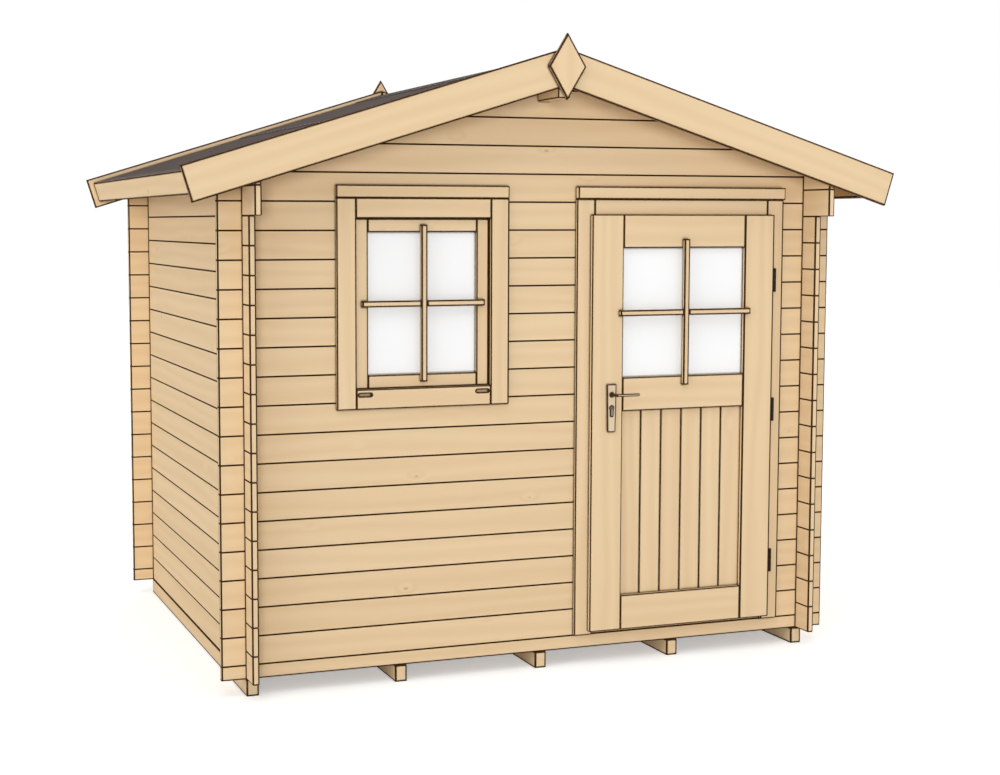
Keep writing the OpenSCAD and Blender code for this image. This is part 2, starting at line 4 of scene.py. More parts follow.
import bmesh
import bpy
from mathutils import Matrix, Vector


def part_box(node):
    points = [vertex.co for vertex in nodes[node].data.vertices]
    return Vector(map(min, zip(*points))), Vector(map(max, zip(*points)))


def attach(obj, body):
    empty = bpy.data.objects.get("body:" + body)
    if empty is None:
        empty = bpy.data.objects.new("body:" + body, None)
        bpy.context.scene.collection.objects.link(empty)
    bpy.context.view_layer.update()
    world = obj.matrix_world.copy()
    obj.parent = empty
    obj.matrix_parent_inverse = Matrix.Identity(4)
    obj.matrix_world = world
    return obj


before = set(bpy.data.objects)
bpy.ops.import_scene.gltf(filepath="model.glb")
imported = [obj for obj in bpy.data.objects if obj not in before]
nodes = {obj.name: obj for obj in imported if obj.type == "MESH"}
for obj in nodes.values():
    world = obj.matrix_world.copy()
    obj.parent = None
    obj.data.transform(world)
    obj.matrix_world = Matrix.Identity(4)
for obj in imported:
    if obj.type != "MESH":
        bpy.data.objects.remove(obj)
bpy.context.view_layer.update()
print("frame loaded:", len(nodes), "CAD nodes")


def deselectAll():
    if bpy.context.object and bpy.context.object.mode != "OBJECT":
        bpy.ops.object.mode_set(mode="OBJECT")
    bpy.ops.object.select_all(action="DESELECT")


def addNode(tree, kind, inputs=None, **settings):
    # inputs maps a socket's name or number to a value, or to another node's output
    node = tree.nodes.new(kind)
    for name, value in settings.items():
        setattr(node, name, value)
    for socket, value in (inputs or {}).items():
        if isinstance(value, bpy.types.NodeSocket):
            tree.links.new(value, node.inputs[socket])
        else:
            node.inputs[socket].default_value = value
    return node


def calc(tree, operation, first, second=0.0, third=0.0):
    inputs = {0: first, 1: second, 2: third}
    return addNode(tree, "ShaderNodeMath", inputs, operation=operation).outputs[0]


def largest(tree, *values):
    most = values[0]
    for value in values[1:]:
        most = calc(tree, "MAXIMUM", most, value)
    return most


def distance(tree, value, point):
    return calc(tree, "ABSOLUTE", calc(tree, "SUBTRACT", value, point))


def spread(tree, value, low, high, toLow=0.0, toHigh=1.0):
    # eases from toLow to toHigh while the value goes from low to high
    inputs = {"Value": value, "From Min": low, "From Max": high, "To Min": toLow, "To Max": toHigh}
    return addNode(tree, "ShaderNodeMapRange", inputs, interpolation_type="SMOOTHSTEP").outputs[0]


def blendColour(tree, amount, first, second):
    inputs = {0: amount, 6: first, 7: second}
    return addNode(tree, "ShaderNodeMix", inputs, data_type="RGBA").outputs[2]


def addNoise(tree, vector, scale=1.0, detail=2.0):
    inputs = {"Vector": vector, "Scale": scale, "Detail": detail}
    return addNode(tree, "ShaderNodeTexNoise", inputs).outputs[0]


def scaleVector(tree, vector, factors):
    return addNode(tree, "ShaderNodeVectorMath", {0: vector, 1: factors}, operation="MULTIPLY").outputs[0]


def addVector(tree, first, second):
    return addNode(tree, "ShaderNodeVectorMath", {0: first, 1: second}, operation="ADD").outputs[0]


def splitVector(tree, vector):
    return addNode(tree, "ShaderNodeSeparateXYZ", {0: vector}).outputs


def readCoords(tree):
    # place and normal in the piece's own frame
    coords = addNode(tree, "ShaderNodeTexCoord").outputs
    return coords["Object"], coords["Normal"]


def addBump(tree, shader, height, look):
    bump = addNode(tree, "ShaderNodeBump", {"Height": height, "Strength": look["bump"],
                                            "Distance": look["bumpDepth"]})
    tree.links.new(bump.outputs[0], shader.inputs["Normal"])


def startMaterial(name):
    material = bpy.data.materials.new(name)
    material.use_nodes = True
    tree = material.node_tree
    tree.nodes.clear()
    shader = addNode(tree, "ShaderNodeBsdfPrincipled")
    addNode(tree, "ShaderNodeOutputMaterial", {"Surface": shader.outputs[0]})
    return material, tree, shader


def dressNodes(material, *names):
    for name in names:
        for slot in nodes[name].material_slots:
            slot.material = material


# the dark lines that joints and edges show, and painted shade in inner corners and beside some upright edges,
# with lengths in metres
lines = {
    "dark": (0.048, 0.019, 0.004, 1.0),
    "edgeReach": 0.006,     # how far an edge's line looks for the next face
    "longReach": 0.009,     # the same where no bore or groove lies close under a face
    "edgeFrom": 0.88,       # openness below which an edge is dark, and above which it is plain
    "edgeTo": 0.97,
    # painted shade in inner corners: how far it looks for another face, and the openness below which it is
    # dark and above which it is plain
    "cornerReach": 0.009,
    "cornerFrom": 0.66,
    "cornerTo": 0.82,
    "bevel": 0.93,          # a face that looks less than this along each direction is a bevel
    "logBevel": 0.3,        # and has no line on logs where it looks further up or down than this
    "diamondBevel": 0.7,    # how far a diamond's bevels look to the front
    "diamondFrom": 0.2,     # a face this near to that is a bevel, and at diamondTo it is none
    "diamondTo": 0.3,
    "joint": 0.0035,        # half width of a joint's line between two logs
    "blur": 0.0004,         # how far that line fades to each side
    "logEdge": 0.0060,      # width of the line beside a log's end, and along a wall's foot
    "crossing": 0.0035,     # half width of the line where two walls cross
    "rim": 0.0070,          # width of the painted shade line beside a plank's upright edge
    "rimFacing": 0.9,       # how far to the front or the back its face looks
    "edgeSamples": 8,
    "cornerSamples": 4,
}


def edgeLine(tree, reach):
    # dark where a face ends at an outer edge
    inner = addNode(tree, "ShaderNodeAmbientOcclusion", {"Distance": reach},
                    samples=lines["edgeSamples"], inside=True, only_local=True)
    return spread(tree, inner.outputs["AO"], lines["edgeFrom"], lines["edgeTo"], 1.0, 0.0)


def cornerShadeLine(tree):
    # painted shade: dark where another face rises close by
    outer = addNode(tree, "ShaderNodeAmbientOcclusion", {"Distance": lines["cornerReach"]},
                    samples=lines["cornerSamples"])
    return spread(tree, outer.outputs["AO"], lines["cornerFrom"], lines["cornerTo"], 1.0, 0.0)


def rimShadeLine(tree, x, facingFront, rim):
    # painted shade: dark beside an upright edge, on the front and on the back
    nearRim = calc(tree, "LESS_THAN", distance(tree, x, rim), lines["rim"])
    return calc(tree, "MULTIPLY", nearRim, calc(tree, "GREATER_THAN", facingFront, lines["rimFacing"]))


def bevelLine(tree, facings, wall, diamond):
    # dark on bevels, which look between two of the piece's directions. A diamond's whole rim
    # does so, and its bevels are those that look half to the front
    if diamond:
        fromBevel = distance(tree, facings[1], lines["diamondBevel"])
        squareness = spread(tree, fromBevel, lines["diamondFrom"], lines["diamondTo"])
    else:
        squareness = largest(tree, *facings)
    line = calc(tree, "LESS_THAN", squareness, lines["bevel"])
    if wall:
        line = calc(tree, "MULTIPLY", line, calc(tree, "LESS_THAN", facings[2], lines["logBevel"]))
    return line


def logLines(tree, xyz, wall, fromJoint, atEnd):
    # two logs meet in one straight line, and others run round the ends, along the foot and
    # where two walls cross
    along, low, high, half = wall["along"], wall["low"], wall["high"], wall["half"]
    joint = spread(tree, fromJoint, lines["joint"] - lines["blur"], lines["joint"] + lines["blur"], 1.0, 0.0)
    fromLow = calc(tree, "SUBTRACT", xyz[along], low[along] + wall["more"])
    fromHigh = calc(tree, "SUBTRACT", high[along], xyz[along])
    isUpper = calc(tree, "GREATER_THAN", xyz[2], wall["above"])
    fromTip = calc(tree, "MINIMUM", calc(tree, "MULTIPLY_ADD", isUpper, wall["more"], fromLow), fromHigh)
    fromFace = calc(tree, "SUBTRACT", half, distance(tree, xyz[wall["through"]], wall["middle"]))
    fromEdge = addNode(tree, "ShaderNodeMix", {0: atEnd, 2: fromTip, 3: fromFace}).outputs[0]
    fromEdge = calc(tree, "MINIMUM", fromEdge, calc(tree, "SUBTRACT", xyz[2], low[2]))
    crossing = calc(tree, "MINIMUM", fromLow, fromHigh)
    for middle in (wall["crossAt"], half):
        crossing = distance(tree, crossing, middle)
    return largest(tree, joint, calc(tree, "LESS_THAN", fromEdge, lines["logEdge"]),
                   calc(tree, "LESS_THAN", crossing, lines["crossing"]))


# a vector's first number is along the grain, the others are across it
pine = {
    "light": (0.815, 0.625, 0.395, 1.0),
    "dark": (0.700, 0.500, 0.285, 1.0),
    "knot": (0.420, 0.215, 0.090, 1.0),
    "endGrain": (0.790, 0.600, 0.375, 1.0),
    "roughness": 0.85,
    "shine": 0.1,
    "flame": 0.28,          # how much each of these moves the tone from light to dark
    "fibre": 0.30,
    "boardShift": 0.20,
    "boardsApart": (9.0, 5.0, 5.0),     # metres that boards' figures may lie apart
    "slopeSeed": 7.0,       # added on the right slope of the roof, and taken off on the left
    "frameSeed": 5.0,
    "storeys": 2.5,         # in a metre: a frame's level boards differ from storey to storey
    "ringRadian": 0.011,    # metres across the grain in each radian of a ring
    "wander": (0.7, 6.0, 6.0),          # how often the rings wander in a metre
    "wanderBy": 14.0,       # and by how many radians
    "fibres": (12.0, 420.0, 420.0),     # in a metre
    "knots": 4.6,           # cells in a metre, each with a knot in it
    "knotStretch": (0.55, 1.0, 1.0),
    "knotStrength": 0.45,
    "knotRim": (0.018, 0.034),          # where a knot fades, in cells from its middle
    "bend": (0.03, 0.16),   # where the rings' bend round it fades, and the bend in radians
    "bendBy": 5.0,
    "endFacing": 0.8,       # how far along the grain an end looks
    "endRings": 1900.0,     # radians of a ring in a metre of end grain
    "endContrast": 0.18,    # half of their change in tone
    "heartSide": 0.05,      # metres that a log's heart may lie to one side
    "bump": 0.25,           # of the fibres, and how deep they are in metres
    "bumpDepth": 0.0006,
}


def turnAlong(tree, vector, axis):
    # gives the vector with its first number along the grain
    parts = splitVector(tree, vector)
    order = {"X": (0, 1, 2), "Y": (1, 0, 2), "Z": (2, 0, 1)}[axis]
    turned = addNode(tree, "ShaderNodeCombineXYZ", {i: parts[order[i]] for i in range(3)})
    return turned.outputs[0]


def turnBetween(tree, place, normal, xyz, between):
    # boards of a frame: level ones in the stretch between, upright ones beside it
    middle, half = between
    offset = calc(tree, "SUBTRACT", xyz[0], middle)
    isLevel = calc(tree, "LESS_THAN", calc(tree, "ABSOLUTE", offset), half)
    storey = calc(tree, "FLOOR", calc(tree, "MULTIPLY", xyz[2], pine["storeys"]))
    levelSeed = calc(tree, "ADD", calc(tree, "MULTIPLY", storey, isLevel), pine["frameSeed"])
    sideSeed = calc(tree, "MULTIPLY", calc(tree, "SIGN", offset), calc(tree, "SUBTRACT", 1.0, isLevel))
    turned = []
    for vector in (place, normal):
        ways = {0: isLevel, 4: turnAlong(tree, vector, "Z"), 5: turnAlong(tree, vector, "X")}
        turned.append(addNode(tree, "ShaderNodeMix", ways, data_type="VECTOR").outputs[1])
    return turned[0], turned[1], calc(tree, "ADD", sideSeed, levelSeed)


def pineFace(tree, own, boardTone):
    # growth rings: long flames that wander along the grain, and fine fibres
    wander = addNoise(tree, scaleVector(tree, own, pine["wander"]), detail=2.0)
    parts = splitVector(tree, own)
    depth = calc(tree, "DIVIDE", calc(tree, "ADD", parts[1], parts[2]), pine["ringRadian"])
    # small sound knots, far apart along the grain, that the rings bend round
    inKnots = {"Vector": scaleVector(tree, own, pine["knotStretch"]), "Scale": pine["knots"]}
    toKnot = addNode(tree, "ShaderNodeTexVoronoi", inKnots, feature="F1").outputs["Distance"]
    depth = calc(tree, "ADD", depth, spread(tree, toKnot, *pine["bend"], pine["bendBy"], 0.0))
    ring = calc(tree, "MULTIPLY_ADD", wander, pine["wanderBy"], depth)
    flame = calc(tree, "MULTIPLY_ADD", calc(tree, "SINE", ring), 0.5, 0.5)
    fibre = addNoise(tree, scaleVector(tree, own, pine["fibres"]), detail=3.0)
    tone = calc(tree, "MULTIPLY_ADD", flame, pine["flame"], calc(tree, "MULTIPLY", fibre, pine["fibre"]))
    tone = calc(tree, "MULTIPLY_ADD", boardTone, pine["boardShift"], tone)
    colour = blendColour(tree, tone, pine["light"], pine["dark"])
    knot = spread(tree, toKnot, *pine["knotRim"], pine["knotStrength"], 0.0)
    return blendColour(tree, knot, colour, pine["knot"]), fibre


def logHeart(tree, xyz, wall, inRow, width, chance):
    # a log's rings lie round a heart of its own, somewhere near its middle
    rise = calc(tree, "MULTIPLY", calc(tree, "FRACT", inRow), width)
    sideways = calc(tree, "SUBTRACT", xyz[wall["through"]], wall["middle"])
    inLog = addNode(tree, "ShaderNodeCombineXYZ", {1: rise, 2: sideways}).outputs[0]
    return addVector(tree, inLog, scaleVector(tree, chance, (0.0, -width, -pine["heartSide"])))


def pineEnd(tree, fromHeart):
    # end grain: rings round the heart
    radius = addNode(tree, "ShaderNodeVectorMath", {0: fromHeart}, operation="LENGTH").outputs["Value"]
    wave = calc(tree, "SINE", calc(tree, "MULTIPLY", radius, pine["endRings"]))
    ring = calc(tree, "MULTIPLY_ADD", wave, pine["endContrast"], pine["endContrast"])
    return blendColour(tree, ring, pine["endGrain"], pine["dark"])


def makePine(name, axis, boards=None, between=None, slope=None, diamond=False, wall=None,
             reach=lines["edgeReach"], rims=()):
    # axis: the grain's direction. boards: (axis, a joint's place, width) of boards
    # side by side, each with a figure of its own. between: (middle, half width) of
    # the stretch of a frame where the boards are level. slope: the roof's pitch, for
    # boards that run down both ways from the ridge. diamond: a ridge diamond.
    # wall: what measureWall gives of a wall of logs. reach: how far the edges' lines look.
    # rims: the x of upright edges that get a painted shade line on the front and on the back.
    material, tree, shader = startMaterial(name)
    place, normal = readCoords(tree)
    xyz = splitVector(tree, place)
    seed = 0.0
    if boards:
        boardAxis, joint, width = boards
        inRow = calc(tree, "DIVIDE", calc(tree, "SUBTRACT", xyz["XYZ".index(boardAxis)], joint), width)
        seed = calc(tree, "FLOOR", inRow)
        fromJoint = calc(tree, "MULTIPLY", calc(tree, "PINGPONG", inRow, 0.5), width)
    if slope:
        side = calc(tree, "SIGN", xyz[0])
        seed = calc(tree, "ADD", seed, calc(tree, "MULTIPLY", side, pine["slopeSeed"]))
        turnBy = calc(tree, "MULTIPLY", side, -slope)
        place, normal = [addNode(tree, "ShaderNodeVectorRotate", {"Vector": vector, "Angle": turnBy},
                                 rotation_type="Y_AXIS").outputs[0] for vector in (place, normal)]
    if between:
        along, facing, seed = turnBetween(tree, place, normal, xyz, between)
    else:
        along, facing = [turnAlong(tree, vector, axis) for vector in (place, normal)]
    # each board has a figure and a tone of its own
    chance = addNode(tree, "ShaderNodeTexWhiteNoise", {"W": seed}, noise_dimensions="1D").outputs
    own = addVector(tree, along, scaleVector(tree, chance["Color"], pine["boardsApart"]))
    colour, fibre = pineFace(tree, own, chance["Value"])
    facesAlong = calc(tree, "ABSOLUTE", splitVector(tree, facing)[0])
    atEnd = calc(tree, "GREATER_THAN", facesAlong, pine["endFacing"])
    if wall:
        fromHeart = logHeart(tree, xyz, wall, inRow, width, chance["Color"])
        outline = logLines(tree, xyz, wall, fromJoint, atEnd)
    else:
        fromHeart = scaleVector(tree, own, (0.0, 1.0, 1.0))
        outline = edgeLine(tree, reach)
    colour = blendColour(tree, atEnd, colour, pineEnd(tree, fromHeart))
    facings = [calc(tree, "ABSOLUTE", part) for part in splitVector(tree, normal)]
    # the dark lines, with painted shade beside the rims and in inner corners
    line = largest(tree, bevelLine(tree, facings, wall, diamond), outline,
                   *[rimShadeLine(tree, xyz[0], facings[1], rim) for rim in rims], cornerShadeLine(tree))
    tree.links.new(blendColour(tree, line, colour, lines["dark"]), shader.inputs["Base Color"])
    shader.inputs["Roughness"].default_value = pine["roughness"]
    shader.inputs["Specular IOR Level"].default_value = pine["shine"]
    addBump(tree, shader, fibre, pine)
    return material


def makeFelt():
    felt = {
        "dark": (0.070, 0.052, 0.046, 1.0),
        "pale": (0.120, 0.094, 0.085, 1.0),
        "grit": 900.0,          # mineral grains in a metre
        "patches": 3.0,         # worn patches in a metre
        "gritShare": 0.6,       # of the changes in tone
        "roughness": 1.0,
        "shine": 0.05,
        "bump": 0.5,
        "bumpDepth": 0.001,
    }
    material, tree, shader = startMaterial("feltFinish")
    place = readCoords(tree)[0]
    grit = addNode(tree, "ShaderNodeTexVoronoi", {"Vector": place, "Scale": felt["grit"]}).outputs
    patch = calc(tree, "MULTIPLY", addNoise(tree, place, felt["patches"], detail=4.0), 1 - felt["gritShare"])
    tone = calc(tree, "MULTIPLY_ADD", grit["Color"], felt["gritShare"], patch)
    tree.links.new(blendColour(tree, tone, felt["dark"], felt["pale"]), shader.inputs["Base Color"])
    shader.inputs["Roughness"].default_value = felt["roughness"]
    shader.inputs["Specular IOR Level"].default_value = felt["shine"]
    addBump(tree, shader, grit["Distance"], felt)
    return material


def makePane():
    pane = {
        "white": (0.96, 0.965, 0.965, 1.0),
        "cool": (0.945, 0.955, 0.96, 1.0),
        "clouds": 2.5,          # in a metre
        "roughness": 0.18,
        "ior": 1.5,
    }
    material, tree, shader = startMaterial("paneFinish")
    place = readCoords(tree)[0]
    colour = blendColour(tree, addNoise(tree, place, pane["clouds"], detail=1.0), pane["white"], pane["cool"])
    # painted shade on the glass where the bars and the frame rise close by
    colour = blendColour(tree, cornerShadeLine(tree), colour, lines["dark"])
    tree.links.new(colour, shader.inputs["Base Color"])
    shader.inputs["Roughness"].default_value = pane["roughness"]
    shader.inputs["IOR"].default_value = pane["ior"]
    return material


# stroke: marks of the finish in a metre along x, y and z. edges: how far the edges' lines look
metals = {
    "black": {"colour": (0.010, 0.008, 0.007, 1), "worn": (0.018, 0.015, 0.013, 1), "roughness": 0.5,
              "metallic": 0.0, "shine": 0.15, "stroke": (60, 60, 60)},
    "plate": {"colour": (0.78, 0.62, 0.42, 1), "worn": (0.72, 0.57, 0.38, 1), "roughness": 0.42,
              "metallic": 0.35, "shine": 0.5, "stroke": (900, 900, 40), "edges": 0.005},
    "lever": {"colour": (0.66, 0.52, 0.36, 1), "worn": (0.60, 0.47, 0.32, 1), "roughness": 0.50,
              "metallic": 0.1, "shine": 0.15, "stroke": (40, 900, 900)},
    "zinc": {"colour": (0.22, 0.22, 0.22, 1), "worn": (0.15, 0.15, 0.15, 1), "roughness": 0.5,
             "metallic": 0.6, "shine": 0.5, "stroke": (300, 300, 300)},
    "nickel": {"colour": (0.40, 0.33, 0.27, 1), "worn": (0.32, 0.26, 0.22, 1), "roughness": 0.35,
               "metallic": 0.6, "shine": 0.5, "stroke": (500, 40, 500), "edges": 0.002},
}
polish = 0.2                # how much a metal's roughness differs between its marks
leverShadeFade = (0.94, 0.985)   # how far to the front a lever's face looks where its painted shade fades


def makeMetal(name, look, lever=None):
    # lever: (y, reach), the middle of the door and how far from it the lever's necks go. They
    # are dark, and the lever's round bar gets painted shade where it turns away from the door's face
    material, tree, shader = startMaterial(name)
    place, normal = readCoords(tree)
    marks = addNoise(tree, scaleVector(tree, place, look["stroke"]), detail=3.0)
    colour = blendColour(tree, marks, look["colour"], look["worn"])
    if lever:
        middle, reach = lever
        isNeck = calc(tree, "LESS_THAN", distance(tree, splitVector(tree, place)[1], middle), reach)
        # painted shade on the round bar's sides, where it turns away from the door's face
        facing = calc(tree, "ABSOLUTE", splitVector(tree, normal)[1])
        turned = largest(tree, spread(tree, facing, *leverShadeFade, 1.0, 0.0), isNeck)
        colour = blendColour(tree, turned, colour, lines["dark"])
    if "edges" in look:
        # dark outer edges, and painted shade where another face rises close by
        outline = largest(tree, edgeLine(tree, look["edges"]), cornerShadeLine(tree))
        colour = blendColour(tree, outline, colour, lines["dark"])
    tree.links.new(colour, shader.inputs["Base Color"])
    gloss = calc(tree, "MULTIPLY_ADD", marks, polish, look["roughness"] - polish / 2)
    tree.links.new(gloss, shader.inputs["Roughness"])
    shader.inputs["Metallic"].default_value = look["metallic"]
    shader.inputs["Specular IOR Level"].default_value = look["shine"]
    return material


# metres, and numbers of boards
sizes = {
    "row": 0.114,           # height of a row of logs
    "logEnd": 0.100,        # length of a log past the wall that it crosses
    "lowRows": 16,          # rows of a side wall below the two that reach out to the roof's front
    "pitch": math.radians(17.2),
    "bearerStep": 0.620,    # spacing of the bearers under the floor
    "casing": 0.080,        # widths of the casings, the sash's and the leaf's members
    "sash": 0.053,
    "stile": 0.144,
    "bead": 0.012,
    "groove": 0.008,        # depth of the grooves that hold the door's panel
    "panelBoard": 0.096,
    "neck": 0.026,          # length of the lever's neck in front of a lock plate
    "floorBoards": 20,
    "roofBoards": 24,
}


def measureWall(node, axis, lowEnds=None, above=0.0):
    # a wall whose logs run along an axis. lowEnds: where the logs below the height `above`
    # end at the low end, when those over it reach further
    low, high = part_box(node)
    along = "XYZ".index(axis)
    through = 1 - along
    half = (high[through] - low[through]) / 2
    return {"low": low, "high": high, "along": along, "through": through, "half": half,
            "middle": low[through] + half, "crossAt": sizes["logEnd"] + half, "above": above,
            "more": 0.0 if lowEnds is None else lowEnds - low[along]}


def framePine(name, outline, member):
    # upright boards at both sides of an opening, level ones between them
    low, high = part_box(outline)
    return makePine(name, "Z", between=((low.x + high.x) / 2, (high.x - low.x) / 2 - member),
                    rims=(high.x,))


print("dressing the CAD nodes")
# walls: the front and back ones start with half a log
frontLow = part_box("front_wall_base")[0]
lowLogs = ("Z", frontLow.z - sizes["row"] / 2, sizes["row"])
sideLogs = ("Z", frontLow.z, sizes["row"])
dressNodes(makePine("frontLogPine", "X", boards=lowLogs, wall=measureWall("front_wall_base", "X")),
           "front_wall_base", "front_wall_left", "front_wall_right", "front_wall_top", "front_gable")
dressNodes(makePine("backLogPine", "X", boards=lowLogs, wall=measureWall("back_wall", "X")),
           "back_wall", "back_gable")
upperLogs = frontLow.z + sizes["lowRows"] * sizes["row"]
for name in ("left_wall", "right_wall"):
    wall = measureWall(name, "Y", frontLow.y - sizes["logEnd"], upperLogs)
    dressNodes(makePine(name + "Pine", "Y", boards=sideLogs, wall=wall), name)

# ground and floor
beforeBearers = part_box("foundation_bearers")[0].x - sizes["bearerStep"] / 2
dressNodes(makePine("bearerPine", "Y", boards=("X", beforeBearers, sizes["bearerStep"]),
                    reach=lines["longReach"]), "foundation_bearers")
floorLow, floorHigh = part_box("floor")
floorBoard = (floorHigh.y - floorLow.y) / sizes["floorBoards"]
dressNodes(makePine("floorPine", "X", boards=("Y", floorLow.y, floorBoard)), "floor")

# roof
deckLow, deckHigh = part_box("left_roof_deck")
deckBoard = (deckHigh.y - deckLow.y) / sizes["roofBoards"]
dressNodes(makePine("deckPine", "X", boards=("Y", deckLow.y, deckBoard), slope=sizes["pitch"]),
           "left_roof_deck", "right_roof_deck")
dressNodes(makePine("purlinPine", "Y"), "ridge_purlin")
dressNodes(makePine("eavesPine", "Y", slope=sizes["pitch"], reach=lines["longReach"]),
           "left_fascia", "right_fascia")
dressNodes(makePine("bargePine", "X", slope=sizes["pitch"], reach=lines["longReach"]),
           "front_bargeboards", "rear_bargeboards")
dressNodes(makePine("diamondPine", "Z", diamond=True, reach=lines["longReach"]),
           "front_finial", "rear_finial")
roofFelt = makeFelt()
dressNodes(roofFelt, "left_roof_felt", "right_roof_felt")

# window and door
leafLow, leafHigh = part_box("door_stiles")
dressNodes(makePine("stilePine", "Z", boards=("X", (leafLow.x + leafHigh.x) / 2, leafHigh.x - leafLow.x),
                    rims=(leafHigh.x, leafHigh.x - sizes["stile"])), "door_stiles")
dressNodes(makePine("levelPine", "X"), "window_drip_board", "door_drip_board", "door_threshold", "door_rails")
dressNodes(framePine("windowTrimPine", "window_casing", sizes["casing"]),
           "window_frame", "window_casing", "window_inner_casing")
dressNodes(framePine("sashPine", "window_sash", sizes["sash"]), "window_sash")
dressNodes(framePine("doorTrimPine", "door_casing", sizes["casing"]),
           "door_frame", "door_casing", "door_inner_casing")
dressNodes(framePine("beadPine", "door_glass_beads", sizes["bead"]), "door_glass_beads")
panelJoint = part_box("door_panel")[0].x + sizes["groove"]
dressNodes(makePine("panelPine", "Z", boards=("X", panelJoint, sizes["panelBoard"])), "door_panel")
dressNodes(makePane(), "window_glass", "door_glass")

# hinges and lock
dressNodes(makeMetal("blackSteel", metals["black"]), "frame_hinges", "leaf_hinges")
dressNodes(makeMetal("platedMetal", metals["plate"]), "lock_plates")
plateLow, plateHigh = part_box("lock_plates")
necks = ((plateLow.y + plateHigh.y) / 2, (plateHigh.y - plateLow.y) / 2 + sizes["neck"])
dressNodes(makeMetal("leverMetal", metals["lever"], lever=necks), "door_lever")
dressNodes(makeMetal("cylinderNickel", metals["nickel"]), "lock_cylinder")

# the cross of planted bars on each pane
bars = {
    "width": 0.025,
    "thick": 0.020,
    "easing": 0.0015,       # of their edges
    "gap": 0.0002,          # between the upright and the level bars
    "reach": 0.008,         # how far the edges' lines look
    "window": (0.522, 0.631),       # width and height over the bars
    "door": (0.617, 0.617),
}


def addBar(name, low, high, axis):
    # a square bar between two corners with all its edges eased
    deselectAll()
    bpy.ops.mesh.primitive_cube_add(size=1, location=[(a + b) / 2 for a, b in zip(low, high)])
    bar = bpy.context.object
    bar.name = name
    bpy.ops.transform.resize(value=[b - a for a, b in zip(low, high)])
    bpy.ops.object.transform_apply(location=True, rotation=True, scale=True)
    bpy.ops.object.mode_set(mode="EDIT")
    bpy.ops.mesh.select_all(action="SELECT")
    bpy.ops.mesh.bevel(offset=bars["easing"], segments=2, affect="EDGES")
    bpy.ops.object.mode_set(mode="OBJECT")
    bar.data.materials.append(makePine(name + "Pine", axis, reach=bars["reach"]))
    return bar


def makeCross(opening, face, body):
    # face: the y of the surface that the bars are planted on
    width, height = bars[opening]
    low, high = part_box(opening + "_glass")
    centreX, centreZ = (low.x + high.x) / 2, (low.z + high.z) / 2
    half = bars["width"] / 2
    front = face - bars["thick"]
    made = [addBar(opening + "_bar_upright", (centreX - half, front, centreZ - height / 2),
                   (centreX + half, face, centreZ + height / 2), "Z")]
    for side, name in ((-1, opening + "_bar_left"), (1, opening + "_bar_right")):
        inner = centreX + side * (half + bars["gap"])
        outer = centreX + side * width / 2
        made.append(addBar(name, (min(inner, outer), front, centreZ - half),
                           (max(inner, outer), face, centreZ + half), "X"))
    for bar in made:
        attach(bar, body)


print("planting the cross bars")
makeCross("window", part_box("window_sash")[0].y, "house")
makeCross("door", leafLow.y, "door")


def pickWhere(piece, test):
    # selects the vertices of a piece, in edit mode, whose place passes the test
    mesh = bmesh.from_edit_mesh(piece.data)
    for vertex in mesh.verts:
        vertex.select_set(test(vertex.co))
    mesh.select_flush(True)
    bmesh.update_edit_mesh(piece.data)


def applyModifier(piece, kind, **settings):
    modifier = piece.modifiers.new(kind.title(), kind)
    for name, value in settings.items():
        setattr(modifier, name, value)
    deselectAll()
    piece.select_set(True)
    bpy.context.view_layer.objects.active = piece
    bpy.ops.object.modifier_apply(modifier=modifier.name)


def joinPieces(made, name):
    deselectAll()
    for piece in made:
        piece.select_set(True)
    bpy.context.view_layer.objects.active = made[0]
    bpy.ops.object.join()
    made[0].name = name
    return made[0]


roofing = {
    "thick": 0.0025,        # of a strip of felt
    "easing": 0.0006,       # of its edges
    "lap": 0.80,            # distance from the ridge down to the upper strip's edge
    "cap": 0.15,            # reach of the ridge cap down each slope
    "ridgeGap": 0.004,      # from the ridge to the upper strip, which the cap covers
    "merge": 0.004,         # reach within which the cap's two halves become one
    "cells": 6,             # of a strip, down the slope
    "step": 0.06,           # spacing of the places where a cut edge wavers
    "waver": 0.0012,
    "air": 0.0003,          # gap below a strip
    "endGap": 0.002,        # gap beside the bargeboards
}
nailing = {
    "head": 0.0045,         # radius of a clout nail's head
    "thick": 0.0012,
    "sides": 12,
    "drawnIn": 0.45,        # how far in the head's flat top starts, in radii
    "raised": 0.35,         # how far up it stands, in thicknesses
    "step": 0.075,
    "inset": 0.020,         # from a strip's edge to its nails
    "strayAlong": 0.004,
    "strayDown": 0.002,
    "air": 0.0001,          # gap below the nails at the eaves
}
feltLow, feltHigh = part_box("left_roof_felt")
feltMiddle = (feltLow.y + feltHigh.y) / 2
zinc = makeMetal("zincNails", metals["zinc"])
byHand = random.Random(7)   # small unevenness of cutting and nailing


def layOnSlope(piece, side):
    # turns a piece made round the ridge, with x down the slope, on to its slope
    deselectAll()
    piece.select_set(True)
    bpy.context.view_layer.objects.active = piece
    piece.location = (0, feltMiddle, feltHigh.z)
    piece.rotation_euler = (0, side * sizes["pitch"], 0)
    bpy.ops.object.transform_apply(location=True, rotation=True, scale=True)


